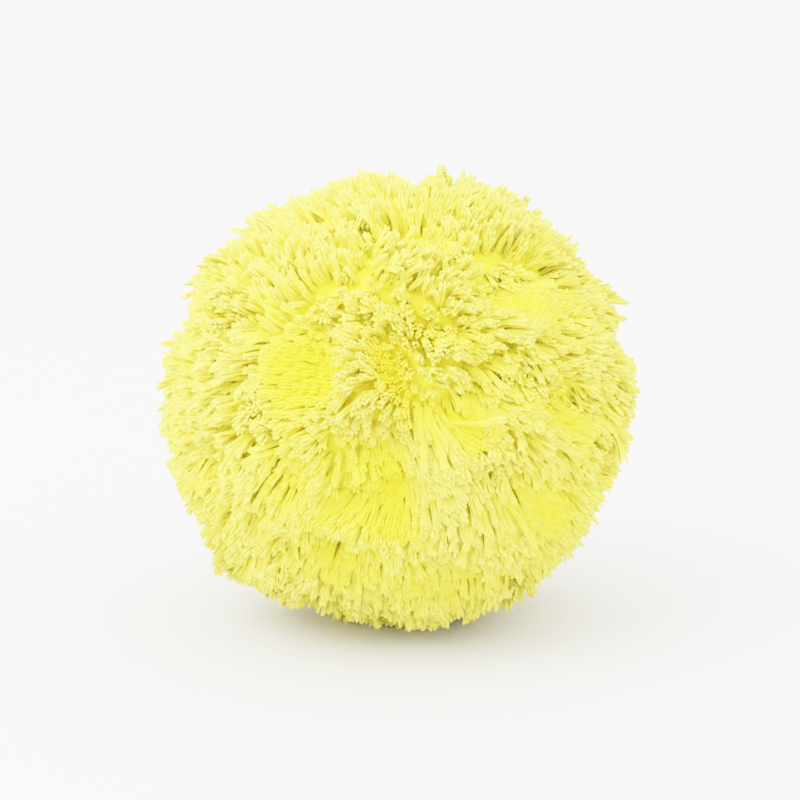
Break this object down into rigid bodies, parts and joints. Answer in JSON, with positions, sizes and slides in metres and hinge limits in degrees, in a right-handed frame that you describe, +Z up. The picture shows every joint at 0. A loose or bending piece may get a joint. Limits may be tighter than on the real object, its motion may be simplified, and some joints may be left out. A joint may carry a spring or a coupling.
{
  "type": "yarn pom pom",
  "caption": "Round ball of cut yarn with tufts and hollows, pressed a little flat where it rests.",
  "frame": {"origin": "on the surface that the ball rests on, under the middle of its outer box", "axes": "+Z up through the ball, the side shown in the picture faces -Y, +X to its right"},
  "size_m": [0.0882, 0.0888, 0.0854],
  "materials": {
    "yarn": "cut soft acrylic yarn, matt"
  },
  "bodies": {
    "root": {"pompom": "yarn"}
  },
  "joints": []
}
